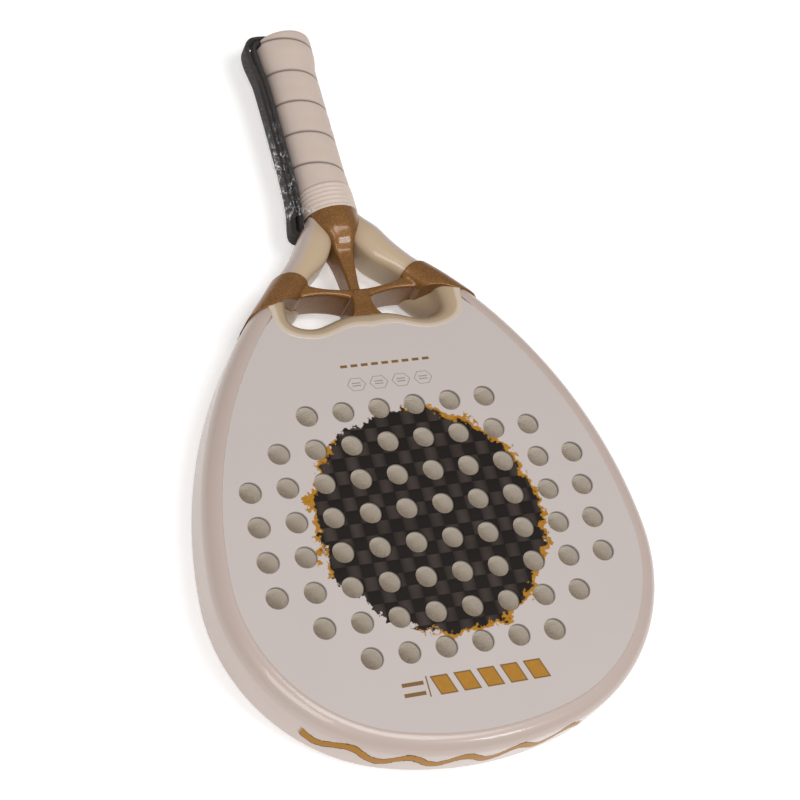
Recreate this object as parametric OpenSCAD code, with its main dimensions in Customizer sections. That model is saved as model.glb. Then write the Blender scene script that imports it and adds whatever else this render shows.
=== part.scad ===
// Padel racket, lying on its back face.
// Frame: +X to the right, +Y from the tip of the head to the butt, +Z out of the front face.
// The origin is the middle of the box's underside. All sizes are in millimetres.

/* [Head] */
// Length from the tip of the head to the butt
racket_l = 455; // [450:1:455]
// Thickness of the head
head_t = 38; // [36:0.5:38]
// Radius of the outline at the tip
tip_r = 195.5; // [190:0.5:200]
// Radius of the outline at the shoulders
shoulder_r = 104.5; // [100:0.5:106]
// Radius of the outline along the flanks
flank_r = 257; // [250:1:262]
// Radius that rounds the rim in section
rim_r = 9; // [7:0.5:9]
// Distance from the outline to the edge of the flat face
face_inset = 10; // [9.5:0.5:12]
// Thickness of each face skin
skin_t = 1.2; // [0.8:0.1:2]
// Width of the rim tube, seen from the front
tube_w = 16; // [15:0.5:17]
// Wall of the rim tube
tube_wall = 2.4; // [1.5:0.1:3]

/* [Holes] */
// Diameter of the drilled holes
hole_d = 12.5; // [10:0.5:13]
// Pitch of the holes across the head
hole_pitch_x = 21.4; // [20:0.1:22]
// Pitch of the rows along the head
hole_pitch_y = 20.3; // [19:0.1:21]
// Where the middle of the pattern lies, along the head
hole_centre_y = -98.2; // [-102:0.2:-96]

/* [Throat] */
// Width of each throat arm
arm_w = 16; // [15:0.5:17]
// Thickness of the arms and of the window edges
throat_t = 28; // [26:0.5:30]
// Depth of the crossbar
crossbar_t = 24; // [20:0.5:26]
// Depth of the strut
strut_t = 16.8; // [14:0.2:20]
// Thickness of the caps round the roots of the arms
cap_t = 0.9; // [0.6:0.1:1.2]

/* [Handle] */
// Radius of the handle over the middle of the grip
grip_r = 15.6; // [15.4:0.1:16]
// Radius of the flared butt
butt_r = 17.4; // [17:0.1:18]
// Radius of the collar over its ribs
collar_r = 16.7; // [16.4:0.1:17]
// Width of one turn of the grip band
grip_pitch = 21.5; // [20:0.5:24]

/* [Strap] */
// Width of the strap
strap_w = 12; // [10:0.5:14]
// Thickness of one layer of the strap
strap_t = 3.2; // [2.6:0.1:3.4]

/* [Hidden] */

$fn = 64;
mid_z = head_t / 2;
// Middle of the width of the strap
strap_z = mid_z + 1;
tip_y = -racket_l / 2;

// Headings of the outline where one arc runs into the next, in degrees from +X
heads = [0, 15.7, 92.6, 133.1];
radii = [tip_r, shoulder_r, flank_r];
arc_step = 2.5;
// Straight stretch between the head and the bend of the arms
arm_straight = 32;
// How far from the middle the tube ends lie inside the handle
shaft_x = 6.2;
shaft_a = 4.5;
shaft_b = 8;
shaft_end_y = 214;
corner_steps = 5;

// A point at heading h on an arc of radius r round centre c
function on_arc(c, r, h) = c + r * [sin(h), -cos(h)];
// The start of each arc of the outline, found by walking the arcs before it
function arc_start(i) = i == 0 ? [0, tip_y] : on_arc(arc_centre(i - 1), radii[i - 1], heads[i]);
function arc_centre(i) = arc_start(i) - radii[i] * [sin(heads[i]), -cos(heads[i])];
function arc_points(i, inset) =
    let (n = ceil((heads[i + 1] - heads[i]) / arc_step))
    [for (k = [0:n]) on_arc(arc_centre(i), radii[i] - inset, heads[i] + (heads[i + 1] - heads[i]) * k / n)];
// Right-hand half of the outline, from the tip to the end of the flank
function half_outline(inset) = concat(arc_points(0, inset), arc_points(1, inset), arc_points(2, inset));
function mirrored(points) = [for (i = [len(points) - 1:-1:0]) [-points[i][0], points[i][1]]];

// Path of an arm: straight out of the head, then one bend that ends along the handle
head_end = heads[3];
arm_start = on_arc(arc_centre(2), flank_r - tube_w / 2, head_end);
bend_start = arm_start + arm_straight * [cos(head_end), sin(head_end)];
bend_r = (bend_start[0] - shaft_x) / (1 - sin(head_end));
bend_end_y = bend_start[1] - bend_r * cos(head_end);
bend_steps = 12;
straight_steps = 5;
function bend_point(h) = bend_start - bend_r * [sin(h) - sin(head_end), cos(head_end) - cos(h)];
// Each station of the path is [x, y, heading]
arm_path = concat(
    [for (k = [0:straight_steps])
        let (p = arm_start + arm_straight * k / straight_steps * [cos(head_end), sin(head_end)])
        [p[0], p[1], head_end]],
    [for (k = [1:bend_steps])
        let (h = head_end + (90 - head_end) * k / bend_steps, p = bend_point(h))
        [p[0], p[1], h]],
    [[shaft_x, shaft_end_y, 90]]);

function smooth(a, b, y) = let (t = max(0, min(1, (y - a) / (b - a)))) t * t * (3 - 2 * t);
function arm_half_w(y) = arm_w / 2 + (shaft_a - arm_w / 2) * smooth(84, 106, y);
function arm_half_t(y) = mid_z + (throat_t / 2 - mid_z) * smooth(38, 66, y)
    + (shaft_b - throat_t / 2) * smooth(86, 106, y);

// The inner side of each arm swells by this much where it meets the neck
neck_swell = 3.5;
function arm_swell(y) = neck_swell * smooth(66, 80, y) * (1 - smooth(88, 102, y));

// Rounded rectangle as a ring of points, half sizes a and b, corner radius r
function ring_2d(a, b, r) = [
    for (k = [0:3], i = [0:corner_steps])
        let (t = 90 * (k + i / corner_steps), sx = (k == 0 || k == 3) ? 1 : -1, sy = k < 2 ? 1 : -1)
        [sx * (a - r) + r * cos(t), sy * (b - r) + r * sin(t)]];
// That ring stood across the arm at station s, its inner half stretched by the swell
function ring_at(s, a, b, r) = [
    for (p = ring_2d(a, b, r))
        let (x = p[0] < 0 ? p[0] * (1 + arm_swell(s[1]) / a) : p[0])
        [s[0] + x * sin(s[2]), s[1] - x * cos(s[2]), mid_z + p[1]]];
function arm_ring(s, grow) =
    let (a = arm_half_w(s[1]) + grow, b = arm_half_t(s[1]) + grow)
    ring_at(s, a, b, 0.82 * a);

// Solid through a list of rings that all have the same number of points
module loft(rings) {
    n = len(rings[0]);
    last = len(rings) - 1;
    sides = [for (k = [0:last - 1], i = [0:n - 1])
        [k * n + i, k * n + (i + 1) % n, (k + 1) * n + (i + 1) % n, (k + 1) * n + i]];
    start = [for (i = [n - 1:-1:0]) i];
    end = [for (i = [0:n - 1]) last * n + i];
    polyhedron(points = [for (ring = rings) for (p = ring) p], faces = concat(sides, [start, end]));
}

// Tube between outer rings and inner rings
module loft_tube(outer, inner) {
    n = len(outer[0]);
    last = len(outer) - 1;
    base = (last + 1) * n;
    out_sides = [for (k = [0:last - 1], i = [0:n - 1])
        [k * n + i, k * n + (i + 1) % n, (k + 1) * n + (i + 1) % n, (k + 1) * n + i]];
    in_sides = [for (k = [0:last - 1], i = [0:n - 1])
        let (j = (i + 1) % n, here = base + k * n, ahead = base + (k + 1) * n)
        [here + i, ahead + i, ahead + j, here + j]];
    start = [for (i = [0:n - 1]) [i, base + i, base + (i + 1) % n, (i + 1) % n]];
    end = [for (i = [0:n - 1])
        [last * n + i, last * n + (i + 1) % n, base + last * n + (i + 1) % n, base + last * n + i]];
    polyhedron(points = [for (ring = concat(outer, inner)) for (p = ring) p],
               faces = concat(out_sides, in_sides, start, end));
}

// ---- Head ----

// Section of the rim tube, across its width and thickness: a step carries the skins on each side
rim_steps = 6;
function rim_corner(r, side) = [
    for (i = [0:rim_steps])
        let (t = side < 0 ? -90 + 90 * i / rim_steps : 90 * i / rim_steps)
        [tube_w / 2 - rim_r + r * cos(t), side * (mid_z - rim_r) + r * sin(t)]];
function rim_section(wall) =
    let (step_x = tube_w / 2 - face_inset, in_x = wall - tube_w / 2, top = mid_z - skin_t - wall,
         ledge = wall > 0 ? top : mid_z, ledge_x = wall > 0 ? step_x + 0.3 : step_x)
    concat([[in_x, -top], [step_x - wall / 2, -top], [ledge_x, -ledge]], rim_corner(rim_r - wall, -1),
           rim_corner(rim_r - wall, 1), [[ledge_x, ledge], [step_x - wall / 2, top], [in_x, top]]);
function rim_ring(s, side, wall) = [
    for (p = rim_section(wall))
        [side * (s[0] + p[0] * sin(s[2])), s[1] - p[0] * cos(s[2]), mid_z + p[1]]];
// Stations along the middle of the tube, from the tip to the end of the flank
rim_step = 5;
rim_path = [
    for (i = [0:2])
        let (n = ceil((heads[i + 1] - heads[i]) / rim_step))
        for (k = [(i == 0 ? 0 : 1):n])
            let (h = heads[i] + (heads[i + 1] - heads[i]) * k / n,
                 p = on_arc(arc_centre(i), radii[i] - tube_w / 2, h))
            [p[0], p[1], h]];
function rim_rings(wall) = concat(
    [for (i = [len(rim_path) - 1:-1:1]) rim_ring(rim_path[i], -1, wall)],
    [for (s = rim_path) rim_ring(s, 1, wall)]);

module rim_tube() {
    color("#d8cbc4") loft_tube(rim_rings(0), rim_rings(tube_wall));
}

// Edge of the scooped recess round the windows, right-hand half, from the outside inwards
lobe_c = [39.5, 39];
lobe_r = 20;
inner_lobe_c = [18, 31.6];
inner_lobe_r = 8;
lobe_turn = 104;
recess_y = 23.3;
// The lobe meets the side of the head at this angle
function lobe_from(shrink) = 30 - 2 * shrink;
// A shift moves the outer side of the lobe in, for the wall that slopes down to the back
function recess_half(shrink, from, shift) = concat(
    [for (k = [0:12])
        let (a = from + (lobe_turn - from) * k / 12)
        lobe_c + (lobe_r - shrink) * [cos(a), -sin(a)] - shift * [max(0, cos(a)), 0]],
    [for (a = [lobe_turn + 13, lobe_turn + 26])
        inner_lobe_c + max(0.5, inner_lobe_r - shrink) * [cos(a), -sin(a)]],
    [[0, recess_y + 0.9 * shrink]]);
// The windows start this far inside the recess and this far down, and their outer walls slope in
window_shrink = 8.5;
scoop_drop = 7.8;
wall_shift = 10;
// Half width of the head at y, at an inset from its outline
function by_y(points) = [for (p = points) [p[1], p[0]]];
function held_in(points, table) = [for (p = points) [min(p[0], lookup(p[1], table)), p[1]]];

// The flat face, cut off by the recess
module face_2d() {
    right = half_outline(face_inset);
    table = by_y(right);
    edge = concat([for (p = right) if (p[1] < lobe_c[1] - 1) p], held_in(recess_half(0, 2, 0), table));
    polygon(concat(edge, mirrored([for (p = edge) if (p[0] > 0) p])));
}

rows = [6, 8, 10, 10, 10, 10, 8, 6];
module holes(h) {
    for (j = [0:len(rows) - 1])
        for (i = [0:rows[j] - 1])
            translate([(i - (rows[j] - 1) / 2) * hole_pitch_x,
                       hole_centre_y + (j - (len(rows) - 1) / 2) * hole_pitch_y, -1])
                cylinder(d = hole_d, h = h + 2, $fn = 48);
}

module skin() {
    difference() {
        linear_extrude(skin_t) face_2d();
        holes(skin_t);
    }
}

module face_front() {
    color("#c8bcb8") translate([0, 0, head_t - skin_t]) skin();
}

module face_back() {
    color("#c8bcb8") skin();
}

core_end_y = 6;
module foam_core() {
    right = half_outline(tube_w);
    side = [for (p = right) if (p[1] < core_end_y - 1) p];
    edge_x = side[len(side) - 1][0] - 5;
    edge = concat(side, [[edge_x, core_end_y]]);
    color("#8b8578")
        difference() {
            translate([0, 0, skin_t])
                linear_extrude(head_t - 2 * skin_t) polygon(concat(edge, mirrored(edge)));
            holes(head_t);
        }
}

// Outline of the bridge where its scooped edge has come in by shrink
bridge_sides = 5;
function bridge_half(shrink, shift) =
    let (table = by_y(half_outline(tube_w)),
         recess = recess_half(shrink, lobe_from(shrink), shift), top = recess[0][1])
    concat([for (k = [0:bridge_sides - 1])
                let (y = core_end_y + (top - 1 - core_end_y) * k / (bridge_sides - 1))
                [lookup(y, table), y]],
           held_in(recess, table));
function bridge_ring(shrink, shift, z) =
    let (half = bridge_half(shrink, shift), whole = concat(half, mirrored([for (p = half) if (p[0] > 0) p])))
    [for (p = whole) [p[0], p[1], z]];
// How far round the scooped edge each level of the bridge lies
slopes = [0, 22.5, 45, 67.5, 90];
module bridge_body() {
    front_z = head_t - skin_t - scoop_drop;
    back_z = skin_t + scoop_drop;
    front = [for (a = slopes)
        bridge_ring(window_shrink * sin(a), 0, front_z + scoop_drop * cos(a))];
    back = [for (i = [len(slopes) - 1:-1:0])
        let (a = slopes[i])
        bridge_ring(window_shrink * sin(a), wall_shift * sin(a), back_z - scoop_drop * cos(a))];
    loft(concat(front, back));
}

module bridge() {
    color("#b99f80") bridge_body();
}

// ---- Throat ----

module arm() {
    wall = 1.6;
    loft_tube([for (s = arm_path) arm_ring(s, 0)], [for (s = arm_path) arm_ring(s, -wall)]);
}

module arm_solid(grow) {
    loft([for (s = arm_path) arm_ring(s, grow)]);
}

module both_arms(grow) {
    arm_solid(grow);
    mirror([1, 0, 0]) arm_solid(grow);
}

module arm_right() {
    color("#c6ae90") arm();
}

module arm_left() {
    color("#c6ae90") mirror([1, 0, 0]) arm();
}

// Where a cap lies on the root of the right arm, seen from the front
cap_plan = [[30, 49.5], [36, 47.6], [44, 47.2], [70, 47], [70, 50], [50, 62.4],
            [43, 64.6], [36, 63.4], [31, 60.2], [26, 58]];
module cap() {
    gap = 0.05;
    intersection() {
        difference() {
            arm_solid(cap_t);
            arm_solid(gap);
        }
        translate([0, 0, -1]) linear_extrude(head_t + 2) polygon(cap_plan);
    }
}

module cap_right() {
    color("#7f542d") cap();
}

module cap_left() {
    color("#7f542d") mirror([1, 0, 0]) cap();
}

// The foot starts inside the wall of the bridge and is cut to meet it
foot_y = 29.5;
crossbar_half = [[0, 45], [5.5, 46], [11, 47.8], [19, 49.2], [26, 49.7], [34, 49.4], [42, 48.5], [46, 52],
                 [38, 63], [31, 60.2], [27, 56.4], [20.5, 53.8], [13, 52.4], [0, 51.5]];
foot_half = [[0, foot_y], [10, foot_y], [9.2, 33.5], [7.2, 37], [6, 41], [5.6, 46], [0, 46]];
module crossbar() {
    color("#7a4e28")
        difference() {
            union() {
                translate([0, 0, mid_z - crossbar_t / 2])
                    linear_extrude(crossbar_t) polygon(concat(crossbar_half, mirrored(crossbar_half)));
                translate([0, 0, mid_z - crossbar_t / 2 - 1])
                    linear_extrude(crossbar_t + 2) polygon(concat(foot_half, mirrored(foot_half)));
            }
            both_arms(cap_t + 0.05);
            bridge_body();
        }
}

strut_start_y = 51.6;
strut_end_y = 78;
module strut() {
    half = [[0, strut_start_y], [3, strut_start_y + 0.2], [3.4, 60], [4.2, 70],
            [5.2, strut_end_y], [0, strut_end_y]];
    color("#7a4e28")
        translate([0, 0, mid_z - strut_t / 2])
            linear_extrude(strut_t) polygon(concat(half, mirrored(half)));
}

collar_y = 104;
yoke_plan = [[0, strut_end_y], [6.2, strut_end_y], [6.8, 83], [8.6, 88], [12, 93.5], [15.6, 98.5],
             [16.4, collar_y], [0, collar_y]];
// Half height of the yoke along the handle
yoke_side = [[strut_end_y, strut_t / 2], [82, 10.4], [86, 13.4], [91, 15.4], [98, 16.2], [collar_y, 16.4]];
module yoke() {
    tops = [for (p = yoke_side) [p[0], mid_z + p[1]]];
    bottoms = [for (i = [len(yoke_side) - 1:-1:0]) [yoke_side[i][0], mid_z - yoke_side[i][1]]];
    color("#7f542d")
        difference() {
            intersection() {
                linear_extrude(head_t) polygon(concat(yoke_plan, mirrored(yoke_plan)));
                rotate([90, 0, 90])
                    translate([0, 0, -30]) linear_extrude(60) polygon(concat(tops, bottoms));
                translate([0, strut_end_y - 1, mid_z])
                    rotate([-90, 0, 0]) cylinder(r = 18.2, h = 40);
            }
            both_arms(0.05);
        }
}

// ---- Handle ----

pallet_y = 106;
pallet_end_y = 220;
pallet_r = 13.9;
cap_hollow_y = 205;

// A disc section along the handle's axis
module along_handle(y) {
    translate([0, y, mid_z]) rotate([-90, 0, 0]) children();
}

module shaft_pocket() {
    gap = 0.15;
    path = [for (s = arm_path) if (s[1] > pallet_y - 8) s];
    outside = [for (s = path)
        let (reach = arm_half_w(s[1]) + gap)
        [s[0] + reach * sin(s[2]), s[1] - reach * cos(s[2])]];
    inside = [for (i = [len(path) - 1:-1:0])
        let (s = path[i], reach = arm_half_w(s[1]) + gap)
        [s[0] - reach * sin(s[2]), s[1] + reach * cos(s[2])]];
    half_h = shaft_b + 0.4;
    translate([0, 0, mid_z - half_h]) linear_extrude(2 * half_h) polygon(concat(outside, inside));
}

module pallet() {
    difference() {
        intersection() {
            along_handle(pallet_y)
                rotate([0, 0, 22.5]) cylinder(r = pallet_r, h = pallet_end_y - pallet_y, $fn = 8);
            translate([-20, pallet_y - 1, mid_z + 0.02]) cube([40, pallet_end_y - pallet_y + 2, 20]);
        }
        shaft_pocket();
        mirror([1, 0, 0]) shaft_pocket();
        translate([-12, cap_hollow_y, mid_z - 7]) cube([24, 30, 14]);
        for (x = [-4, 4])
            translate([x, 216, mid_z + 7.5]) cylinder(r = 0.5, h = 10, $fn = 24);
    }
}

module pallet_front() {
    color("#6f6a62") pallet();
}

module pallet_back() {
    color("#6f6a62") translate([0, 0, head_t]) mirror([0, 0, 1]) pallet();
}

module grip_staple() {
    wire_r = 0.4;
    top_z = mid_z + pallet_r * cos(22.5) + wire_r;
    color("#b8b8bc") {
        for (x = [-4, 4])
            translate([x, 216, top_z - 5]) cylinder(r = wire_r, h = 5, $fn = 24);
        translate([-4 - wire_r, 216, top_z])
            rotate([0, 90, 0]) cylinder(r = wire_r, h = 8 + 2 * wire_r, $fn = 24);
    }
}

grip_y = 111;
grip_end_y = 227.3;
grip_in_r = 14.6;
seam = 0.5;
last_seam_y = grip_end_y - 7.3;
// Notch in the end of the band, where the strap goes over it
notch_w = 12.8;
notch_y = 222.4;
module grip_wrap() {
    turns = floor((last_seam_y - collar_end_y - 2) / grip_pitch);
    profile = [[grip_in_r, grip_y], [15, grip_y], [15, collar_end_y], [grip_r + 0.4, collar_end_y + 0.05],
               [grip_r, collar_end_y + 14], [grip_r, grip_end_y - 26], [butt_r, grip_end_y - 12],
               [butt_r, grip_end_y - 3], [butt_r - 0.5, grip_end_y - 1], [butt_r - 1.5, grip_end_y],
               [grip_in_r, grip_end_y]];
    color("#cdbaae")
        difference() {
            along_handle(0) rotate_extrude() polygon(profile);
            for (k = [0:turns])
                along_handle(last_seam_y - k * grip_pitch)
                    rotate_extrude()
                        translate([k == 0 ? butt_r : grip_r + 0.2, 0])
                            rotate([0, 0, 45]) square(seam, center = true);
            translate([-20, notch_y, strap_z - notch_w / 2]) cube([8, 10, notch_w]);
        }
}

collar_end_y = 121;
module finishing_tape() {
    color("#f0ece6")
        along_handle(grip_y)
            rotate_extrude() translate([15.02, 0]) square([0.22, collar_end_y - grip_y]);
}

module collar() {
    ribs = 6;
    rib = (collar_end_y - collar_y) / ribs;
    color("#dcc9be")
        along_handle(collar_y)
            rotate_extrude()
                union() {
                    translate([15.26, 0]) square([collar_r - 15.26 - 0.5, collar_end_y - collar_y]);
                    for (k = [0:ribs - 1])
                        translate([collar_r - 0.8, k * rib + 0.3]) square([0.8, rib - 0.6]);
                }
}

slot_w = 14.5;
slot_t = 8.4;
module butt_cap() {
    flange_y = pallet_end_y + 0.05;
    color("#2d2a28")
        difference() {
            union() {
                along_handle(flange_y) cylinder(r = 14.5, h = 1.8);
                translate([-11.8, cap_hollow_y + 3, mid_z - 6.8]) cube([23.6, 18, 13.6]);
            }
            translate([-slot_t / 2, cap_hollow_y, mid_z - slot_w / 2 + 1]) cube([slot_t, 30, slot_w - 2]);
            translate([-9.8, cap_hollow_y, mid_z - 5.6]) cube([19.6, 12, 11.2]);
        }
}

module strap_knot() {
    color("#26211f") translate([-8.5, cap_hollow_y + 3, mid_z - 5.2]) cube([17, 7.5, 10.4]);
}

// Route of the strap in plan: out of the cap, over the butt, down the left of the handle,
// round the end fold and back the same way. Each point is [x, y, thickness].
strap_route = [
    [-1.9, 212.8, strap_t], [-1.9, 220, strap_t], [-3.8, 223.3, 2.2], [-7, 224.4, 1.8], [-13, 224.5, 1.8],
    [-17.4, 223.9, 2], [-19.4, 221, 2.6], [-19.8, 215, strap_t], [-19.2, 206, strap_t], [-18.2, 196, strap_t],
    [-18, 160, strap_t], [-18.2, 130, strap_t], [-19, 112, strap_t], [-20.9, 100, strap_t],
    [-21.7, 95, strap_t], [-23.8, 93, strap_t], [-25.9, 95, strap_t], [-25.6, 100, strap_t],
    [-23.3, 112, strap_t], [-22, 130, strap_t], [-21.8, 160, strap_t], [-22, 196, strap_t],
    [-23.1, 206, strap_t], [-23.8, 215, strap_t], [-22.8, 222.3, 2.4], [-19.2, 226, 1.9], [-13, 226.55, 1.9],
    [-5, 226.4, 1.9], [-0.2, 224.6, 2.2], [1.9, 220, strap_t], [1.9, 212.8, strap_t]];

function along(points, i) = points[min(i + 1, len(points) - 1)] - points[max(i - 1, 0)];
function offset_point(points, i, side) =
    let (d = along(points, i), l = norm([d[0], d[1]]), p = points[i])
    [p[0] - side * d[1] / l * p[2] / 2, p[1] + side * d[0] / l * p[2] / 2];
module wrist_strap() {
    n = len(strap_route);
    left_edge = [for (i = [0:n - 1]) offset_point(strap_route, i, 1)];
    right_edge = [for (i = [n - 1:-1:0]) offset_point(strap_route, i, -1)];
    color("#2b2422")
        translate([0, 0, strap_z - strap_w / 2])
            linear_extrude(strap_w) polygon(concat(left_edge, right_edge));
}

// Outline of handle and strap together, as the film goes round them
film_steps = 40;
function film_point(a, r, reach) =
    let (bulge = pow(max(0, -cos(a)), 3))
    [(r + (reach - r) * bulge) * cos(a), (r + 0.35 * (reach - r) * bulge) * sin(a)];
function film_ring(s, grow) = [
    for (i = [0:film_steps - 1])
        let (p = film_point(i * 360 / film_steps, s[1] + grow, s[2] + grow))
        [p[0], s[0], mid_z + p[1]]];
// Each station is [y, radius, reach over the strap]
film_path = [[100, 17.2, 28.8], [106, 17.3, 28], [122, 17, 26], [135, 16.4, 25.4], [170, 16.3, 25.2],
             [198, 16.6, 25.8], [212, 18.1, 29], [222, 18.2, 28.6], [226, 18, 25.4], [227.3, 17.2, 22.8]];
module shrink_film() {
    film_t = 0.2;
    color([0.9, 0.9, 0.92, 0.35])
        loft_tube([for (s = film_path) film_ring(s, film_t)], [for (s = film_path) film_ring(s, 0)]);
}

rim_tube();
arm_left();
arm_right();
bridge();
foam_core();
face_front();
face_back();
crossbar();
strut();
yoke();
cap_left();
cap_right();
pallet_front();
pallet_back();
grip_staple();
grip_wrap();
finishing_tape();
collar();
butt_cap();
strap_knot();
wrist_strap();
shrink_film();
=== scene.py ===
"""Padel racket: the finished looks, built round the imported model."""
import math

import bpy
from mathutils import Matrix, Vector


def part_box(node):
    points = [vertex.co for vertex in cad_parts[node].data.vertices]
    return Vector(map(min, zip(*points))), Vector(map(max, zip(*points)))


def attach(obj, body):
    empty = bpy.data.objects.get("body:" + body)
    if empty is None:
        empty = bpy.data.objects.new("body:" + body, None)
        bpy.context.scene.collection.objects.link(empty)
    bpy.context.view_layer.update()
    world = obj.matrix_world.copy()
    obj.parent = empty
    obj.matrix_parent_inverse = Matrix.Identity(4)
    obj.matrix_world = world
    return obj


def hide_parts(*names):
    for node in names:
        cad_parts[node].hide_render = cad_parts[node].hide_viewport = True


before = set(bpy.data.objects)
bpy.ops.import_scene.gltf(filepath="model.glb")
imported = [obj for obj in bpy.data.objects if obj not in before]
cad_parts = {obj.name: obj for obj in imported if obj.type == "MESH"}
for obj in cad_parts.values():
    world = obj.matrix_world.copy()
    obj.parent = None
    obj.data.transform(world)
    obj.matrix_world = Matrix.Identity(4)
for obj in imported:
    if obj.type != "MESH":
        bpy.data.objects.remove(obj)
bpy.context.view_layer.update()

bl_info = {
    "name": "Padel Racket",
    "version": (1, 0, 0),
    "blender": (4, 5, 0),
    "location": "3D View > Sidebar > Racket",
    "description": "Builds a padel racket with its throat, handle, strap and film",
    "category": "Add Mesh",
}

MM = 0.001
HEAD_T = (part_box("rim_tube")[1][2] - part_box("rim_tube")[0][2]) / MM
MID_Z = HEAD_T / 2
TIP_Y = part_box("rim_tube")[0][1] / MM
GRIP_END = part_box("grip_wrap")[1][1] / MM
COLLAR_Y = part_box("collar")[0][1] / MM
COLLAR_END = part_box("collar")[1][1] / MM
STRAP_Z = (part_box("wrist_strap")[0][2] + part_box("wrist_strap")[1][2]) / 2 / MM
STRAP_W = (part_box("wrist_strap")[1][2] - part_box("wrist_strap")[0][2]) / MM

# Outline of the head: headings in degrees where one arc runs into the next, and the arcs' radii
HEADINGS = (0, 15.7, 92.6, 133.1)
RADII = (195.5, 104.5, 257)
RIM_R = 9
FACE_INSET = 10
TUBE_W = 16
HOLE_ROWS = (6, 8, 10, 10, 10, 10, 8, 6)
HOLE_PITCH = (21.4, 20.3)
HOLE_CENTRE_Y = -98.2

# Right half of the recess in the face, from under the cap round to the middle, and the top edge
# and the back edge of the wall that goes down from it to the window, point for point
RECESS = ((58.5, 53), (59, 46), (57.6, 39), (57.3, 32), (54.5, 26), (49, 22), (42, 19.8), (35, 19),
          (29, 19.6), (22.5, 21.4), (17, 23.2), (10, 24.2), (0, 23.3))
WALL_TOP = ((45, 53), (46, 46.5), (47, 40), (46.6, 35), (44.5, 31.8), (41, 29.8), (37, 28.7), (33, 28.5),
            (28.5, 29.2), (23, 31), (17, 33), (10, 34.4), (0, 34.4))
WALL_BACK = ((29, 53), (33, 47), (38, 42), (41, 38), (41.6, 34.4), (40, 31.2), (37, 29.4), (33, 28.7),
             (28.5, 29.2), (23, 31), (17, 33), (10, 34.4), (0, 34.4))
SCOOP_DROP = 9

# Where a cap lies on the right, seen from the front: its lower edge, then its upper edge
CAP_LOWER = ((30, 50), (36, 47.6), (44, 46.8), (50, 45.4), (54, 43.6), (57.5, 42.2), (62, 41.6),
             (67, 41.4), (73, 41))
CAP_UPPER = ((74, 40), (66, 50), (58, 58), (50, 62.6), (43, 64.6), (36.5, 63.6), (31.5, 60.6),
             (28, 57.4))

# Path of an arm: straight out of the head, then one bend that ends along the handle
ARM_W = 16
ARM_STRAIGHT = 32
SHAFT_X = 6.2
SHAFT_END_Y = 214
# The arms are hidden by the caps up to here
ARM_SHOWN_Y = 55


# ---- Outline of the head ----

def on_arc(centre, radius, heading):
    turn = math.radians(heading)
    return (centre[0] + radius * math.sin(turn), centre[1] - radius * math.cos(turn))


def head_arcs():
    """Centre, radius, first heading and last heading of each arc of the right half."""
    arcs = []
    start = (0, TIP_Y)
    for radius, first, last in zip(RADII, HEADINGS, HEADINGS[1:]):
        centre = on_arc(start, -radius, first)
        arcs.append((centre, radius, first, last))
        start = on_arc(centre, radius, last)
    return arcs


ARCS = head_arcs()


def half_outline(inset, step=2.0):
    """Points (x, y, heading) from the tip to the end of the right flank."""
    points = []
    for centre, radius, first, last in ARCS:
        count = math.ceil((last - first) / step)
        for k in range(0 if not points else 1, count + 1):
            heading = first + (last - first) * k / count
            points.append((*on_arc(centre, radius - inset, heading), heading))
    return points


def smooth_through(points, steps):
    """A smooth curve through points of any number of coordinates, with steps to each span."""
    curve = []
    for i in range(len(points) - 1):
        before = points[max(i - 1, 0)]
        a, b = points[i], points[i + 1]
        after = points[min(i + 2, len(points) - 1)]
        for k in range(steps):
            t = k / steps
            curve.append(tuple(
                0.5 * (2 * q + (r - p) * t + (2 * p - 5 * q + 4 * r - s) * t * t
                       + (3 * q - p - 3 * r + s) * t ** 3)
                for p, q, r, s in zip(before, a, b, after)))
    curve.append(tuple(points[-1]))
    return curve


def smooth_step(a, b, value):
    t = max(0.0, min(1.0, (value - a) / (b - a)))
    return t * t * (3 - 2 * t)


def look_up(table, value):
    """Straight-line value between the rows (place, value) of a table."""
    if value <= table[0][0]:
        return table[0][1]
    for (a, low), (b, high) in zip(table, table[1:]):
        if value <= b:
            return low + (high - low) * (value - a) / (b - a)
    return table[-1][1]


RECESS_CURVE = smooth_through(RECESS, 6)
WALL_TOP_CURVE = smooth_through(WALL_TOP, 6)
WALL_BACK_CURVE = smooth_through(WALL_BACK, 6)
FACE_CORNER_Y = 35.5


def arm_path():
    """Stations (x, y, heading) along the middle of the right arm, from the head into the handle."""
    centre, radius, _, heading = ARCS[-1]
    turn = math.radians(heading)
    ahead = (math.cos(turn), math.sin(turn))
    start = on_arc(centre, radius - TUBE_W / 2, heading)
    bend = (start[0] + ARM_STRAIGHT * ahead[0], start[1] + ARM_STRAIGHT * ahead[1])
    bend_r = (bend[0] - SHAFT_X) / (1 - math.sin(turn))
    stations = []
    for k in range(12):
        along = ARM_STRAIGHT * k / 12
        stations.append((start[0] + along * ahead[0], start[1] + along * ahead[1], heading))
    for k in range(31):
        angle = heading + (90 - heading) * k / 30
        a = math.radians(angle)
        stations.append((bend[0] - bend_r * (math.sin(a) - math.sin(turn)),
                         bend[1] - bend_r * (math.cos(turn) - math.cos(a)), angle))
    stations.append((SHAFT_X, SHAFT_END_Y, 90))
    return stations


def arm_half_w(y):
    return ARM_W / 2 - 3.5 * smooth_step(84, 106, y)


def arm_half_t(y):
    return MID_Z - 5 * smooth_step(38, 66, y) - 6 * smooth_step(86, 106, y)


def arm_swell(y):
    return 3.5 * smooth_step(66, 80, y) * (1 - smooth_step(88, 102, y))


# ---- Mesh tools ----

def deselect():
    if bpy.context.object and bpy.context.object.mode != "OBJECT":
        bpy.ops.object.mode_set(mode="OBJECT")
    bpy.ops.object.select_all(action="DESELECT")


def choose(obj):
    deselect()
    obj.select_set(True)
    bpy.context.view_layer.objects.active = obj


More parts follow.
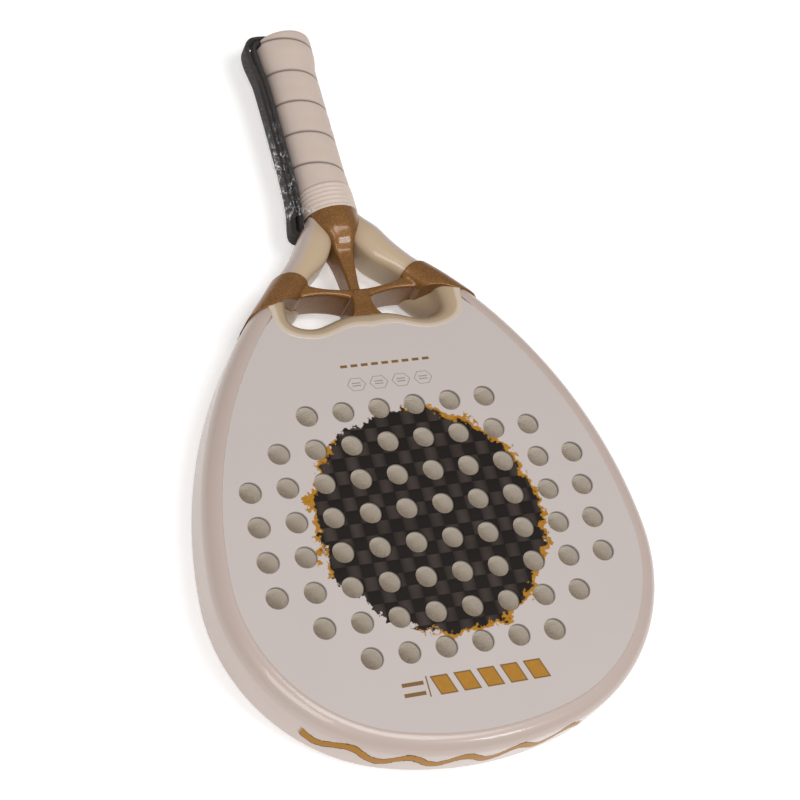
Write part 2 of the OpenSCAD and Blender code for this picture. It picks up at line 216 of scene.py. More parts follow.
def tidy_shell(obj, fill):
    """Merges doubles, fills open ends if asked and turns all faces outwards."""
    choose(obj)
    bpy.ops.object.mode_set(mode="EDIT")
    bpy.ops.mesh.select_all(action="SELECT")
    bpy.ops.mesh.remove_doubles(threshold=0.01 * MM)
    if fill:
        bpy.ops.mesh.fill_holes(sides=0)
        bpy.ops.mesh.select_all(action="SELECT")
    bpy.ops.mesh.normals_make_consistent(inside=False)
    bpy.ops.object.mode_set(mode="OBJECT")


def loft(name, rings, fill=True):
    """A grid laid through rings of points in millimetres; each ring closes on itself."""
    deselect()
    across, along = len(rings[0]), len(rings) - 1
    bpy.ops.mesh.primitive_grid_add(x_subdivisions=across, y_subdivisions=along, size=2)
    obj = bpy.context.object
    obj.name = name
    for vertex in obj.data.vertices:
        column = round((vertex.co.x + 1) / 2 * across) % across
        row = round((vertex.co.y + 1) / 2 * along)
        vertex.co = Vector(rings[row][column]) * MM
    tidy_shell(obj, fill)
    return obj


def plate(name, outline, low, high):
    """A solid between two heights with the given outline, in millimetres."""
    deselect()
    bpy.ops.mesh.primitive_circle_add(vertices=len(outline), radius=MM, fill_type="NGON")
    obj = bpy.context.object
    obj.name = name
    for vertex, point in zip(obj.data.vertices, outline):
        vertex.co = (point[0] * MM, point[1] * MM, low * MM)
    bpy.ops.object.mode_set(mode="EDIT")
    bpy.ops.mesh.select_all(action="SELECT")
    bpy.ops.mesh.extrude_region_move(TRANSFORM_OT_translate={"value": (0, 0, (high - low) * MM)})
    bpy.ops.mesh.select_all(action="SELECT")
    bpy.ops.mesh.normals_make_consistent(inside=False)
    bpy.ops.object.mode_set(mode="OBJECT")
    return obj


def apply_modifier(obj, kind, **settings):
    choose(obj)
    modifier = obj.modifiers.new(kind.title(), kind)
    for key, value in settings.items():
        setattr(modifier, key, value)
    bpy.ops.object.modifier_apply(modifier=modifier.name)


def join(objects, name):
    deselect()
    for obj in objects:
        obj.select_set(True)
    bpy.context.view_layer.objects.active = objects[0]
    bpy.ops.object.join()
    objects[0].name = name
    return objects[0]


def mirror_copy(obj, name):
    """A copy of obj on the other side of the middle, with its own mesh."""
    choose(obj)
    bpy.ops.object.duplicate()
    copy = bpy.context.object
    copy.name = name
    bpy.ops.object.mode_set(mode="EDIT")
    bpy.ops.mesh.select_all(action="SELECT")
    bpy.ops.transform.mirror(constraint_axis=(True, False, False), center_override=(0, 0, 0))
    bpy.ops.mesh.normals_make_consistent(inside=False)
    bpy.ops.object.mode_set(mode="OBJECT")
    return copy


def smooth_shade(obj, angle=35):
    choose(obj)
    bpy.ops.object.shade_smooth_by_angle(angle=math.radians(angle))


def flatten_shading(obj):
    """Large flat faces keep their own normals where rounded edges meet them."""
    apply_modifier(obj, "WEIGHTED_NORMAL", mode="FACE_AREA", weight=100, keep_sharp=True)


def finish_piece(obj, slot, *nodes, materials=(), angle=35):
    """Shades the piece, gives it its materials and hangs it on the frame."""
    smooth_shade(obj, angle)
    if materials:
        obj.data.materials.clear()
        for material in materials:
            obj.data.materials.append(material)
    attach(obj, "root")
    if nodes:
        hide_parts(*nodes)


def rounded_ring(half_w, half_h, corner, steps=6):
    """Rounded rectangle; corner is one radius, or the radii of the right and the left corners."""
    right, left = corner if isinstance(corner, tuple) else (corner, corner)
    ring = []
    for quarter in range(4):
        sx = 1 if quarter in (0, 3) else -1
        sy = 1 if quarter < 2 else -1
        r = right if sx > 0 else left
        for i in range(steps + 1):
            turn = math.radians(90 * (quarter + i / steps))
            ring.append((sx * (half_w - r) + r * math.cos(turn), sy * (half_h - r) + r * math.sin(turn)))
    return ring


# ---- Node tools ----

class Wiring:
    """Short calls for the nodes of one tree."""

    def __init__(self, tree):
        self.tree = tree

    def node(self, kind, **settings):
        node = self.tree.nodes.new(kind)
        for key, value in settings.items():
            setattr(node, key, value)
        return node

    def put(self, socket, value):
        if isinstance(value, bpy.types.NodeSocket):
            self.tree.links.new(value, socket)
        else:
            socket.default_value = value

    def math(self, operation, *values, clamp=False):
        node = self.node("ShaderNodeMath", operation=operation, use_clamp=clamp)
        for socket, value in zip(node.inputs, values):
            self.put(socket, value)
        return node.outputs[0]

    def add(self, a, b):
        return self.math("ADD", a, b)

    def times(self, a, b):
        return self.math("MULTIPLY", a, b)

    def ramp(self, value, low, high):
        """0 below low, 1 above high, smooth between."""
        node = self.node("ShaderNodeMapRange", interpolation_type="SMOOTHSTEP")
        self.put(node.inputs["Value"], value)
        node.inputs["From Min"].default_value = low
        node.inputs["From Max"].default_value = high
        return node.outputs["Result"]

    def within(self, value, limit, soft):
        """1 where the size of value is under limit."""
        return self.math("SUBTRACT", 1.0, self.ramp(self.math("ABSOLUTE", value), limit - soft, limit + soft))

    def mix(self, factor, a, b):
        node = self.node("ShaderNodeMix", data_type="RGBA")
        self.put(node.inputs["Factor"], factor)
        self.put(node.inputs["A"], a)
        self.put(node.inputs["B"], b)
        return node.outputs["Result"]

    def noise(self, vector, scale, detail=2.0, roughness=0.5):
        node = self.node("ShaderNodeTexNoise")
        self.put(node.inputs["Vector"], vector)
        node.inputs["Scale"].default_value = scale
        node.inputs["Detail"].default_value = detail
        node.inputs["Roughness"].default_value = roughness
        return node.outputs["Fac"]

    def place(self, scale=(1, 1, 1), turn=0.0):
        """Object coordinates in metres, scaled and turned about the vertical."""
        node = self.node("ShaderNodeMapping")
        node.inputs["Scale"].default_value = scale
        node.inputs["Rotation"].default_value[2] = turn
        self.put(node.inputs["Vector"], self.node("ShaderNodeTexCoord").outputs["Object"])
        return node.outputs["Vector"]

    def split(self, vector):
        node = self.node("ShaderNodeSeparateXYZ")
        self.put(node.inputs[0], vector)
        return node.outputs

    def bump(self, height, distance, strength=1.0):
        node = self.node("ShaderNodeBump")
        self.put(node.inputs["Height"], height)
        node.inputs["Distance"].default_value = distance
        node.inputs["Strength"].default_value = strength
        return node.outputs["Normal"]


def new_material(name):
    material = bpy.data.materials.new(name)
    material.use_nodes = True
    wiring = Wiring(material.node_tree)
    return material, wiring, material.node_tree.nodes["Principled BSDF"]


def rgb(colour):
    return (colour[0], colour[1], colour[2], 1.0)


def group_of(name, inputs, outputs):
    """A shader node group with float inputs (name, default) and named outputs (name, kind)."""
    tree = bpy.data.node_groups.new(name, "ShaderNodeTree")
    for label, default in inputs:
        socket = tree.interface.new_socket(label, in_out="INPUT", socket_type="NodeSocketFloat")
        socket.default_value = default
    for label, kind in outputs:
        tree.interface.new_socket(label, in_out="OUTPUT", socket_type=kind)
    wiring = Wiring(tree)
    return tree, wiring, wiring.node("NodeGroupInput"), wiring.node("NodeGroupOutput")


def paint_mottle_group():
    """Faint clouding and orange peel, as on sprayed lacquer."""
    tree, w, source, sink = group_of(
        "paint_mottle", [("Cloud", 0.04), ("Peel", 0.5)],
        [("Shade", "NodeSocketFloat"), ("Height", "NodeSocketFloat")])
    where = w.place()
    cloud = w.math("SUBTRACT", w.noise(where, 35.0, 4.0), 0.5)
    fine = w.math("SUBTRACT", w.noise(where, 900.0, 2.0), 0.5)
    shade = w.add(1.0, w.times(source.outputs["Cloud"], w.add(w.times(cloud, 2.0), fine)))
    w.put(sink.inputs["Shade"], shade)
    w.put(sink.inputs["Height"], w.times(source.outputs["Peel"], w.noise(where, 420.0, 1.0)))
    return tree


def mottle(w, cloud, peel):
    node = w.node("ShaderNodeGroup", node_tree=bpy.data.node_groups["paint_mottle"])
    node.inputs["Cloud"].default_value = cloud
    node.inputs["Peel"].default_value = peel
    return node.outputs["Shade"], node.outputs["Height"]


def shaded(w, colour, shade):
    """A colour made lighter or darker by a value near 1."""
    node = w.node("ShaderNodeVectorMath", operation="SCALE")
    w.put(node.inputs[0], colour if isinstance(colour, bpy.types.NodeSocket) else colour[:3])
    w.put(node.inputs["Scale"], shade)
    return node.outputs[0]


# ---- Materials ----

def brush_edge(w, distance, radius, where):
    """Mask of a round patch with a dry-brush edge, and the height of that edge."""
    rough = w.math("SUBTRACT", w.noise(where, 55.0, 6.0, 0.68), 0.5)
    bristle = w.math("SUBTRACT", w.noise(where, 240.0, 3.0, 0.6), 0.5)
    reach = w.add(distance, w.add(w.times(rough, 0.026), w.times(bristle, 0.011)))
    return w.math("SUBTRACT", 1.0, w.ramp(reach, radius - 0.0004, radius + 0.0004)), reach


def weave(w, x, y, pitch):
    """Painted sheen of a plain weave of wide tows, and their heights: alternate squares run across and along,
    and the crowns of the tows come out lit.
    """
    u = w.times(x, 1.0 / pitch)
    v = w.times(y, 1.0 / pitch)
    odd = w.math("MODULO", w.add(w.math("FLOOR", w.add(u, 200.0)), w.math("FLOOR", w.add(v, 200.0))), 2.0)
    fu = w.math("FRACT", w.add(u, 200.0))
    fv = w.math("FRACT", w.add(v, 200.0))
    crown_u = w.math("SINE", w.times(fu, math.pi))
    crown_v = w.math("SINE", w.times(fv, math.pi))
    strands_u = w.math("SINE", w.times(u, 2 * math.pi * 11))
    strands_v = w.math("SINE", w.times(v, 2 * math.pi * 11))
    across = w.add(w.times(crown_u, 0.7), w.times(strands_v, 0.1))
    along = w.add(w.times(crown_v, 0.7), w.times(strands_u, 0.1))
    height = w.add(w.times(odd, across), w.times(w.math("SUBTRACT", 1.0, odd), along))
    return odd, height


def face_material(name, colours, printed):
    """Matt face paint; the front also has the carbon window and plain gold marks."""
    material, w, shader = new_material(name)
    where = w.place()
    x, y, _ = w.split(where)
    shade, peel = mottle(w, 0.025, 0.4)
    paint = shaded(w, rgb(colours.face), shade)
    shader.inputs["Roughness"].default_value = 0.5
    shader.inputs["Specular IOR Level"].default_value = 0.35
    if not printed:
        w.put(shader.inputs["Base Color"], paint)
        w.put(shader.inputs["Normal"], w.bump(peel, 0.00004))
        return material
    from_centre = w.add(y, 0.0965)
    distance = w.math("SQRT", w.add(w.times(x, x), w.times(from_centre, from_centre)))
    patch, reach = brush_edge(w, distance, 0.0665, where)
    odd, height = weave(w, x, y, 0.0078)
    streak = w.noise(w.place(scale=(1, 0.15, 1)), 260.0, 2.0)
    # Painted sheen: the weave mixes the carbon's shaded and lit copies, so alternate squares and tow crowns
    # look lit, varied at random
    uneven = w.add(0.25, w.times(w.noise(where, 55.0, 2.0), 1.1))
    lit = w.times(w.times(w.add(0.1, w.times(odd, 0.9)), uneven), w.add(0.35, w.times(height, 0.9)))
    carbon = w.mix(lit, rgb(colours.carbon), rgb(colours.carbon_lit_tow))
    carbon = w.mix(w.times(streak, 0.25), carbon, rgb(colours.carbon))
    # Gold flecks lie along the edge of the patch, more of them on two sides
    sector = w.noise(where, 14.0, 1.0)
    near = w.within(w.math("SUBTRACT", reach, 0.0670), 0.0017, 0.0003)
    torn = w.add(sector, w.times(w.noise(where, 170.0, 4.0, 0.7), 0.45))
    flecks = w.times(near, w.ramp(torn, 0.70, 0.72))
    dull_gold = tuple(0.72 * c for c in colours.gold) + (1.0,)
    gold = w.mix(w.noise(where, 300.0, 3.0), rgb(colours.gold), dull_gold)
    colour = w.mix(patch, paint, carbon)
    colour = w.mix(flecks, colour, gold)
    # A row of slanted bars near the tip, with a dark outline
    slant = w.add(x, w.times(w.add(y, 0.1895), 0.35))
    step = w.math("SUBTRACT", w.math("FRACT", w.add(w.times(slant, 1 / 0.0136), 99.838)), 0.5)
    in_row = w.times(w.within(w.add(slant, -0.009), 0.0340, 0.0001),
                     w.within(w.add(y, 0.1895), 0.0055, 0.0002))
    bar_wide = w.times(in_row, w.within(step, 0.37, 0.015))
    inner_row = w.within(w.add(y, 0.1895), 0.0047, 0.0002)
    bar_core = w.times(w.times(in_row, inner_row), w.within(step, 0.31, 0.015))
    colour = w.mix(bar_wide, colour, rgb(colours.gold_line))
    colour = w.mix(bar_core, colour, gold)
    # Two short strokes and an upright line beside them
    stroke_x = w.within(w.add(x, 0.0355), 0.0062, 0.0002)
    strokes = w.times(stroke_x, w.add(w.within(w.add(y, 0.1868), 0.0011, 0.0002),
                                      w.within(w.add(y, 0.1925), 0.0011, 0.0002)))
    upright = w.times(w.within(w.add(x, 0.0272), 0.0004, 0.0001),
                      w.within(w.add(y, 0.1893), 0.0058, 0.0002))
    colour = w.mix(w.math("ADD", strokes, upright, clamp=True), colour, rgb(colours.gold_line))
    # A line of dashes under the throat
    along = w.math("SUBTRACT", w.math("FRACT", w.add(w.times(x, 1 / 0.0062), 100.5)), 0.5)
    dash = w.within(along, 0.33, 0.02)
    dashes = w.times(dash, w.times(w.within(x, 0.0279, 0.0001), w.within(y, 0.00085, 0.00015)))
    colour = w.mix(dashes, colour, rgb(colours.gold_line))
    # Four hexagon outlines below it
    hx = w.times(w.math("SUBTRACT", w.math("FRACT", w.add(w.times(x, 1 / 0.0134), 100.0)), 0.5), 0.0134)
    hx = w.math("ABSOLUTE", hx)
    hy = w.math("ABSOLUTE", w.add(y, 0.0116))
    hexagon = w.math("MAXIMUM", w.times(hy, 1.25), w.add(w.times(hx, 0.866), w.times(hy, 0.62)))
    rings = w.within(w.math("SUBTRACT", hexagon, 0.0047), 0.00022, 0.0001)
    core = w.times(w.within(hx, 0.0026, 0.0002), w.within(w.math("SUBTRACT", hy, 0.0008), 0.0003, 0.0001))
    marks = w.times(w.math("ADD", rings, core, clamp=True), w.within(x, 0.0267, 0.0001))
    colour = w.mix(w.times(marks, 0.8), colour, rgb(colours.print_grey))
    w.put(shader.inputs["Base Color"], colour)
    w.put(shader.inputs["Specular IOR Level"], w.math("SUBTRACT", 0.35, w.times(patch, 0.22)))
    relief = w.add(w.times(peel, 0.3), w.times(w.times(patch, height), 0.5))
    w.put(shader.inputs["Normal"], w.bump(relief, 0.00012))
    return material


def pearl_material(colours):
    """Glossy pearl lacquer of the rim, with a plain gold brush stroke round the tip."""
    material, w, shader = new_material("pearl_lacquer")
    where = w.place()
    x, y, z = w.split(where)
    shade, peel = mottle(w, 0.03, 0.4)
    paint = shaded(w, rgb(colours.pearl), shade)
    # The stroke runs in even waves round the side
    wave = w.times(w.math("SINE", w.times(w.add(x, 0.02), 2 * math.pi / 0.031)), 0.0046)
    off = w.math("SUBTRACT", w.math("SUBTRACT", z, 0.0225), wave)
    rough = w.times(w.math("SUBTRACT", w.noise(w.place(scale=(0.25, 1, 1)), 420.0, 3.0, 0.65), 0.5), 0.0035)
    body = w.within(w.add(off, rough), 0.0034, 0.0002)
    ends = w.within(w.add(w.add(x, 0.012), w.times(w.noise(where, 150.0, 3.0), 0.02)), 0.084, 0.001)
    at_tip = w.times(ends, w.ramp(w.times(y, -1.0), 0.195, 0.197))
    stroke = w.times(body, at_tip)
    outline = w.times(w.within(w.add(off, rough), 0.0042, 0.0002), at_tip)
    colour = w.mix(outline, paint, tuple(0.3 * c for c in colours.gold_line) + (1.0,))
    colour = w.mix(stroke, colour, tuple(0.85 * c for c in colours.gold) + (1.0,))
    w.put(shader.inputs["Base Color"], colour)
    shader.inputs["Roughness"].default_value = 0.34
    w.put(shader.inputs["Specular IOR Level"], w.math("SUBTRACT", 0.5, w.times(outline, 0.45)))
    w.put(shader.inputs["Coat Weight"], w.math("SUBTRACT", 0.4, w.times(outline, 0.4)))
    shader.inputs["Coat Roughness"].default_value = 0.07
    w.put(shader.inputs["Normal"], w.bump(peel, 0.00004))
    return material


def beige_material(colours):
    """Glossy beige lacquer of the throat arms."""
    material, w, shader = new_material("beige_lacquer")
    shade, peel = mottle(w, 0.03, 0.5)
    colour = shaded(w, rgb(colours.beige), shade)
    w.put(shader.inputs["Base Color"], colour)
    shader.inputs["Roughness"].default_value = 0.34
    shader.inputs["Coat Weight"].default_value = 0.35
    shader.inputs["Coat Roughness"].default_value = 0.09
    w.put(shader.inputs["Normal"], w.bump(peel, 0.00006))
    return material


def scoop_material(colours):
    """Glossy lacquer of the scoops, with painted shade darker down in the windows and a light line along the
    edge.
    """
    material, w, shader = new_material("scoop_lacquer")
    _, _, z = w.split(w.place())
    shade, peel = mottle(w, 0.03, 0.5)
    # Painted shade: the lacquer darkens from 33 mm down to 12 mm in the windows
    scoop_shaded_low = w.mix(w.ramp(z, 0.012, 0.033), rgb(colours.scoop_painted_shade), rgb(colours.scoop))
    edge = w.ramp(z, 0.0374, 0.0378)
    colour = w.mix(edge, scoop_shaded_low, rgb(colours.scoop_edge))
    w.put(shader.inputs["Base Color"], shaded(w, colour, shade))
    shader.inputs["Roughness"].default_value = 0.36
    shader.inputs["Coat Weight"].default_value = 0.5
    shader.inputs["Coat Roughness"].default_value = 0.1
    w.put(shader.inputs["Normal"], w.bump(peel, 0.00006))
    return material


def bronze_material(colours):
    """Bronze lacquer with fine metal flake."""
    material, w, shader = new_material("bronze_flake")
    where = w.place()
    flake = w.node("ShaderNodeTexVoronoi")
    w.put(flake.inputs["Vector"], where)
    flake.inputs["Scale"].default_value = 3200.0
    sparkle = w.split(flake.outputs["Color"])[0]
    shade, peel = mottle(w, 0.06, 0.5)
    colour = w.mix(w.ramp(sparkle, 0.6, 1.0), rgb(colours.bronze), rgb(colours.bronze_flake))
    w.put(shader.inputs["Base Color"], shaded(w, colour, shade))
    shader.inputs["Metallic"].default_value = 0.4
    w.put(shader.inputs["Roughness"], w.add(0.36, w.times(sparkle, 0.16)))
    shader.inputs["Coat Weight"].default_value = 0.5
    shader.inputs["Coat Roughness"].default_value = 0.12
    w.put(shader.inputs["Normal"], w.bump(w.add(w.times(sparkle, 0.7), peel), 0.00012))
    return material


def foam_material(name, colour, dark):
    """Cut foam: fine open cells, ringed by the drill, with painted shade close under the faces."""
    material, w, shader = new_material(name)
    where = w.place()
    _, _, z = w.split(where)
    cells = w.noise(where, 1400.0, 3.0, 0.7)
    turned = w.math("SINE", w.times(z, 2 * math.pi / 0.0021))
    tone = w.add(w.times(w.ramp(cells, 0.3, 0.7), 0.7), w.add(0.15, w.times(turned, 0.15)))
    colour_here = w.mix(tone, rgb(dark), rgb(colour))
    # Painted shade: darker close under both faces, where the faces shade the walls of the holes
    from_middle = w.math("ABSOLUTE", w.math("SUBTRACT", z, MID_Z * MM))
    painted_shade_near_faces = w.ramp(from_middle, 0.0158, 0.0172)
    face_shade_colour = tuple(0.2 * c for c in dark[:3]) + (1.0,)
    w.put(shader.inputs["Base Color"], w.mix(w.times(painted_shade_near_faces, 0.85), colour_here, face_shade_colour))
    shader.inputs["Roughness"].default_value = 0.85
    shader.inputs["Specular IOR Level"].default_value = 0.2
    w.put(shader.inputs["Normal"], w.bump(w.add(cells, w.times(turned, 0.5)), 0.0002))
    return material


def grip_material(colours):
    """Soft grip band: painted shade darkens the seams where one turn laps the next, and the face is finely
    dimpled.
    """
    material, w, shader = new_material("grip_band_skin")
    where = w.place()
    seam = w.node("ShaderNodeAttribute", attribute_name="seam").outputs["Fac"]
    dimple = w.node("ShaderNodeTexVoronoi")
    w.put(dimple.inputs["Vector"], where)
    dimple.inputs["Scale"].default_value = 850.0
    shade, _ = mottle(w, 0.05, 0.3)
    body = shaded(w, rgb(colours.grip), shade)
    # Painted shade darkens the laps between turns
    w.put(shader.inputs["Base Color"], w.mix(seam, body, rgb(colours.grip_seam)))
    shader.inputs["Roughness"].default_value = 0.55
    shader.inputs["Specular IOR Level"].default_value = 0.4
    w.put(shader.inputs["Normal"], w.bump(dimple.outputs["Distance"], 0.00012, 0.6))
    return material


def collar_material(colours):
    material, w, shader = new_material("collar_rubber_skin")
    shade, peel = mottle(w, 0.05, 0.6)
    w.put(shader.inputs["Base Color"], shaded(w, rgb(colours.collar), shade))
    shader.inputs["Roughness"].default_value = 0.4
    w.put(shader.inputs["Normal"], w.bump(peel, 0.00012))
    return material


def webbing_material(colours):
    """Black webbing: ribs across the band and fine threads along it, with painted sheen on their raised
    crests.
    """
    material, w, shader = new_material("black_webbing_weave")
    x, y, z = w.split(w.place())
    ribs = w.math("SINE", w.times(w.add(y, w.times(z, 0.6)), 2 * math.pi / 0.0011))
    threads = w.math("SINE", w.times(w.add(z, w.times(x, 0.7)), 2 * math.pi / 0.0009))
    height = w.add(w.times(ribs, 0.6), w.times(threads, 0.4))
    fuzz = w.noise(w.place(), 700.0, 3.0)
    # Painted sheen: the raised ribs and threads take the lighter copy of the black, mixed with random fuzz
    tone = w.add(w.times(w.ramp(height, -0.8, 0.9), 0.6), w.times(fuzz, 0.4))
    w.put(shader.inputs["Base Color"], w.mix(tone, rgb(colours.strap), rgb(colours.strap_thread_sheen)))
    shader.inputs["Roughness"].default_value = 0.7
    shader.inputs["Specular IOR Level"].default_value = 0.3
    w.put(shader.inputs["Normal"], w.bump(height, 0.00018))
    return material


def film_material(colours):
    """Clear shrink film: almost invisible where it lies flat, with painted white reflections along its
    creases.
    """
    material, w, shader = new_material("clear_film_skin")
    crease = w.node("ShaderNodeAttribute", attribute_name="crease").outputs["Fac"]
    where = w.place(scale=(1, 0.4, 1), turn=0.35)
    lines = w.noise(where, 520.0, 3.0, 0.55)
    ridge = w.within(w.math("SUBTRACT", lines, 0.5), 0.014, 0.010)
    patchy = w.ramp(w.noise(w.place(), 190.0, 2.0), 0.42, 0.62)
    # Painted reflection: white glints along the creases, shown through the alpha
    crease_glints = w.times(w.times(ridge, patchy), w.ramp(crease, 0.3, 0.9))
    shader.inputs["Base Color"].default_value = rgb(colours.film)
    shader.inputs["Roughness"].default_value = 0.2
    shader.inputs["Specular IOR Level"].default_value = 0.5
    w.put(shader.inputs["Alpha"], w.add(0.01, w.times(crease_glints, 0.8)))
    w.put(shader.inputs["Normal"], w.bump(lines, 0.0006))
    return material


def plastic_material(name, colour, roughness):
    material, w, shader = new_material(name)
    shade, peel = mottle(w, 0.08, 0.8)
    w.put(shader.inputs["Base Color"], shaded(w, rgb(colour), shade))
    shader.inputs["Roughness"].default_value = roughness
    w.put(shader.inputs["Normal"], w.bump(peel, 0.0001))
    return material


def steel_material():
    material, w, shader = new_material("staple_wire")
    brushed = w.noise(w.place(scale=(0.05, 1, 1)), 2500.0, 2.0)
    w.put(shader.inputs["Base Color"], w.mix(brushed, (0.5, 0.5, 0.52, 1.0), (0.72, 0.72, 0.74, 1.0)))
    shader.inputs["Metallic"].default_value = 1.0
    shader.inputs["Roughness"].default_value = 0.3
    return material


def floor_material(colours):
    material, w, shader = new_material("studio_floor")
    cloud = w.noise(w.place(), 3.0, 2.0)
    w.put(shader.inputs["Base Color"], shaded(w, rgb(colours.floor), w.add(0.99, w.times(cloud, 0.02))))
    shader.inputs["Roughness"].default_value = 0.9
    shader.inputs["Specular IOR Level"].default_value = 0.1
    shader.inputs["Emission Color"].default_value = rgb(colours.floor)
    shader.inputs["Emission Strength"].default_value = 0.38
    return material


# ---- Settings ----

def colour_prop(name, description, default):
    return bpy.props.FloatVectorProperty(name=name, description=description, default=default,
                                         subtype="COLOR", size=3, min=0.0, max=1.0)


def size_prop(name, description, default):
    return bpy.props.FloatProperty(name=name, description=description, default=default, min=0.0)


class RacketSizes(bpy.types.PropertyGroup):
    hole_d: size_prop("Hole", "Diameter of the drilled holes, in millimetres", 12.5)
    hole_edge: size_prop("Hole edge", "Rounding of the holes' edges, in millimetres", 0.5)
    grip_r: size_prop("Grip radius", "Radius over the middle of the grip, in millimetres", 15.6)
    butt_r: size_prop("Butt radius", "Radius of the flared butt, in millimetres", 17.4)
    grip_pitch: size_prop("Grip pitch", "Width of one turn of the grip band, in millimetres", 21.5)
    seam_depth: size_prop("Seam depth", "Depth of the lap between turns, in millimetres", 0.45)
    rib_depth: size_prop("Rib depth", "Height of the ribs of the collar, in millimetres", 0.75)
    crease: size_prop("Crease height", "Height of the creases in the film, in millimetres", 0.45)


class RacketColours(bpy.types.PropertyGroup):
    face: colour_prop("Face", "Matt paint of the faces", (0.535, 0.470, 0.445))
    pearl: colour_prop("Pearl", "Lacquer of the rim", (0.500, 0.400, 0.352))
    beige: colour_prop("Beige", "Lacquer of the throat arms", (0.520, 0.390, 0.255))
    scoop: colour_prop("Scoop", "Lacquer of the scoops", (0.470, 0.345, 0.220))
    # Painted shade: a darker copy of the scoop lacquer for low down in the windows
    scoop_painted_shade: colour_prop("Scoop painted shade", "Lacquer down in the windows", (0.400, 0.300, 0.200))
    scoop_edge: colour_prop("Scoop edge", "Line round the scoops", (0.600, 0.490, 0.390))
    bronze: colour_prop("Bronze", "Base of the bronze lacquer", (0.200, 0.078, 0.012))
    bronze_flake: colour_prop("Bronze flake", "Flake in the bronze lacquer", (0.360, 0.170, 0.032))
    # Shaded and lit copies of the carbon cloth, mixed by the weave as painted sheen
    carbon: colour_prop("Carbon", "Carbon cloth in shade", (0.009, 0.006, 0.005))
    carbon_lit_tow: colour_prop("Carbon lit tow", "Carbon cloth where it catches the light", (0.060, 0.045, 0.039))
    gold: colour_prop("Gold", "Printed gold", (0.450, 0.200, 0.009))
    gold_line: colour_prop("Gold line", "Outline of the printed gold", (0.190, 0.095, 0.020))
    print_grey: colour_prop("Print grey", "Small grey print", (0.200, 0.165, 0.140))
    foam: colour_prop("Foam", "Foam core", (0.940, 0.870, 0.780))
    foam_dark: colour_prop("Foam pores", "Open cells of the foam", (0.800, 0.730, 0.640))
    pallet: colour_prop("Pallet", "Hard foam of the handle", (0.160, 0.145, 0.125))
    grip: colour_prop("Grip", "Grip band", (0.610, 0.490, 0.420))
    grip_seam: colour_prop("Grip seam", "Shadowed lap of the grip band", (0.150, 0.110, 0.090))
    collar: colour_prop("Collar", "Rubber collar", (0.650, 0.530, 0.460))
    tape: colour_prop("Tape", "Finishing tape", (0.800, 0.770, 0.720))
    # Black webbing in shade and its lit copy, mixed on the raised threads as painted sheen
    strap: colour_prop("Strap", "Webbing in shade", (0.010, 0.008, 0.007))
    strap_thread_sheen: colour_prop("Strap thread sheen", "Webbing threads", (0.045, 0.036, 0.033))
    plastic: colour_prop("Butt cap", "Plastic of the butt cap", (0.022, 0.020, 0.019))
    # Painted reflection: the white the film's creases show stands in for light caught by them
    film: colour_prop("Film", "Creases of the film", (0.900, 0.890, 0.890))
    floor: colour_prop("Floor", "Studio floor", (0.900, 0.900, 0.900))


# ---- Stage ----

class RACKET_OT_stage(bpy.types.Operator):
    """Sets the floor, the lights and the camera"""
    bl_idname = "racket.stage"
    bl_label = "Stage"

    def execute(self, context):
        deselect()
        colours = context.scene.racket_colours
        bpy.ops.mesh.primitive_plane_add(size=8, location=(0, 0, -0.0002))
        floor = context.object
        floor.name = "studio_floor"
        floor.data.materials.append(floor_material(colours))
        world = bpy.data.worlds.new("studio")
        world.use_nodes = True
        background = world.node_tree.nodes["Background"]
        background.inputs["Color"].default_value = (1.0, 1.0, 1.0, 1.0)
        background.inputs["Strength"].default_value = 0.36
        context.scene.world = world
        self.lamp("overhead_softbox", (0.35, -0.22, 1.8), (0.0, -0.02, 0.0), 0.7, 11.0)
        self.lamp("tip_lamp", (0.72, -1.03, 1.39), (0.0, 0.05, 0.0), 0.3, 4.5)
        self.lamp("front_fill", (-0.85, -0.85, 1.75), (0.0, -0.05, 0.0), 0.9, 13.0)
        self.camera(context)
        context.scene.view_settings.view_transform = "Standard"
        return {"FINISHED"}

    def lamp(self, name, place, target, size, power):
        bpy.ops.object.light_add(type="AREA", location=place)
        lamp = bpy.context.object
        lamp.name = name
        lamp.data.size = size
        lamp.data.energy = power
        aim = Vector(target) - Vector(place)
        lamp.rotation_euler = aim.to_track_quat("-Z", "Y").to_euler()

    def camera(self, context):
        """Looks down the racket from beyond its tip, a little from the left."""
        bpy.ops.object.camera_add()
        camera = context.object
        right = Vector((0.9206, -0.2565, 0.2945)).normalized()
        up = Vector((0.1068, 0.8907, 0.4419))
        up = (up - up.dot(right) * right).normalized()
        place = Matrix((right, up, right.cross(up))).transposed().to_4x4()
        place.translation = Vector((-0.47126, -0.49754, 1.10697))
        camera.matrix_world = place
        camera.data.lens = 101.8
        camera.data.sensor_width = 36
        context.scene.camera = camera


# ---- Head ----

